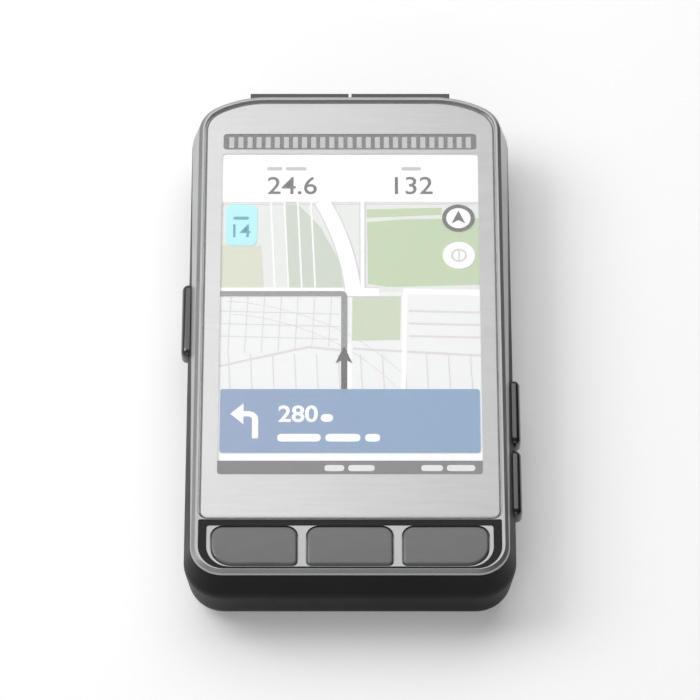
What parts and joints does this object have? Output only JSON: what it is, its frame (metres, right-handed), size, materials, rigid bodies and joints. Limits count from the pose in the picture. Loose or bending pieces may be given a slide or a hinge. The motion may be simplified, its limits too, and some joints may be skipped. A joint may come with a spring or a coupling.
{
  "type": "cycling computer",
  "caption": "Handlebar cycling computer: large portrait touch screen under glass, front keys below it, side buttons, and a quarter-turn cleat and USB port in the back.",
  "frame": {"origin": "on the axis of the quarter-turn cleat, in the plane of the flat back", "axes": "+X to the rider's right, +Y forward along the screen's long side, +Z out of the screen"},
  "size_m": [0.0728, 0.1248, 0.02],
  "materials": {
    "frame_silver": "satin silver paint over moulded plastic",
    "housing_black": "fine-textured black plastic",
    "cover_glass": "polished cover glass",
    "bezel_print": "light grey print behind glass",
    "adhesive": "black foam tape",
    "silicone": "dark silicone",
    "display": "display panel",
    "light_guide": "clear moulded light guide",
    "steel": "stainless steel",
    "foam": "closed-cell foam",
    "board": "green circuit board",
    "mask_black": "black mask",
    "key_grey": "dark grey, softly glossy",
    "button_black": "black rubberised plastic",
    "grille_black": "black, glossy",
    "chassis_metal": "cast alloy, bead blasted",
    "chip_black": "black moulded package",
    "battery_wrap": "foil pouch",
    "lead_red": "red lead",
    "flex_amber": "amber flex circuit",
    "membrane": "woven acoustic membrane",
    "flap_rubber": "black rubber flap"
  },
  "bodies": {
    "housing": {"air_sensor": "chip_black", "backlight_guide": "light_guide", "battery_cell": "battery_wrap", "battery_lead": "lead_red", "battery_pad": "foam", "board_screws": "steel", "centre_key_dome": "silicone", "chassis_plate": "chassis_metal", "chassis_screws": "steel", "cleat_screws": "steel", "display_flex": "flex_amber", "display_foam": "foam", "display_panel": "display", "display_tray": "steel", "frame_gasket": "silicone", "front_frame": "frame_silver", "front_glass": "cover_glass", "glass_adhesive": "adhesive", "glass_print": "bezel_print", "gnss_antenna": "flex_amber", "housing_screws": "steel", "intake_grille_left": "grille_black", "intake_grille_right": "grille_black", "intake_tube": "silicone", "key_board": "board", "lanyard_pin": "steel", "led_board": "board", "led_light_guide": "light_guide", "led_mask": "mask_black", "left_key_dome": "silicone", "lower_seal_strip": "mask_black", "main_board": "board", "main_chips": "chip_black", "power_button_seal": "silicone", "power_switch_board": "board", "quarter_turn_cleat": "chassis_metal", "rear_housing": "housing_black", "rf_shields": "steel", "right_key_dome": "silicone", "speaker": "chip_black", "speaker_mesh": "membrane", "usb_connector": "steel", "usb_seal": "silicone", "vent_membrane": "membrane", "zoom_in_button_seal": "silicone", "zoom_out_button_seal": "silicone", "zoom_switch_board": "board"},
    "left_key": {"left_key": "key_grey"},
    "centre_key": {"centre_key": "key_grey"},
    "right_key": {"right_key": "key_grey"},
    "power_button": {"power_button": "button_black"},
    "zoom_out_button": {"zoom_out_button": "button_black"},
    "zoom_in_button": {"zoom_in_button": "button_black"},
    "usb_flap": {"usb_flap": "flap_rubber"}
  },
  "joints": [
    {"name": "left_key_press", "type": "slide", "parent": "housing", "child": "left_key", "axis": [0, 0, -1], "range_m": [0, 0.0005], "stiffness_N_per_m": 1500, "deforming": ["left_key_dome"]},
    {"name": "centre_key_press", "type": "slide", "parent": "housing", "child": "centre_key", "axis": [0, 0, -1], "range_m": [0, 0.0005], "stiffness_N_per_m": 1500, "deforming": ["centre_key_dome"]},
    {"name": "right_key_press", "type": "slide", "parent": "housing", "child": "right_key", "axis": [0, 0, -1], "range_m": [0, 0.0005], "stiffness_N_per_m": 1500, "deforming": ["right_key_dome"]},
    {"name": "power_button_press", "type": "slide", "parent": "housing", "child": "power_button", "axis": [1, 0, 0], "range_m": [0, 0.0004], "stiffness_N_per_m": 2500},
    {"name": "zoom_out_button_press", "type": "slide", "parent": "housing", "child": "zoom_out_button", "axis": [-1, 0, 0], "range_m": [0, 0.0004], "stiffness_N_per_m": 2500},
    {"name": "zoom_in_button_press", "type": "slide", "parent": "housing", "child": "zoom_in_button", "axis": [-1, 0, 0], "range_m": [0, 0.0004], "stiffness_N_per_m": 2500},
    {"name": "usb_flap_hinge", "type": "hinge", "parent": "housing", "child": "usb_flap", "pos_m": [0, -0.0364, 0.0009], "axis": [1, 0, 0], "range_deg": [0, 90]}
  ]
}
